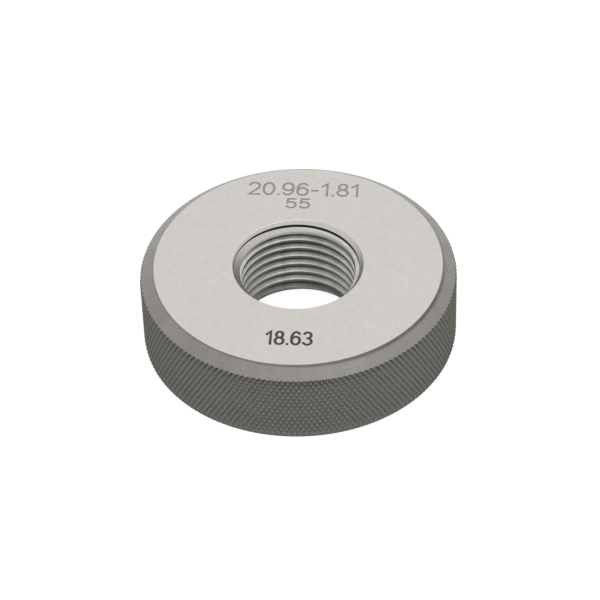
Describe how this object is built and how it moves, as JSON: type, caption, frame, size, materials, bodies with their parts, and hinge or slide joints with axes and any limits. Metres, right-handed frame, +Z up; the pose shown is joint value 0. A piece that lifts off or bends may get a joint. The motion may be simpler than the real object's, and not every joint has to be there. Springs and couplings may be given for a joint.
{
  "type": "thread ring gauge",
  "caption": "Flat round steel gauge with a knurled rim, sloped edges and a right-hand threaded hole. It is screwed onto an outside thread to check it.",
  "frame": {"origin": "centre of the lower face, on the axis of the threaded hole", "axes": "+Z up along the axis of the hole, +X along the lines of figures on the upper face, +Y towards the head of the figures"},
  "size_m": [0.053, 0.053, 0.016],
  "materials": {
    "gauge_steel": "satin"
  },
  "bodies": {
    "root": {"gauge_ring": "gauge_steel"}
  },
  "joints": []
}
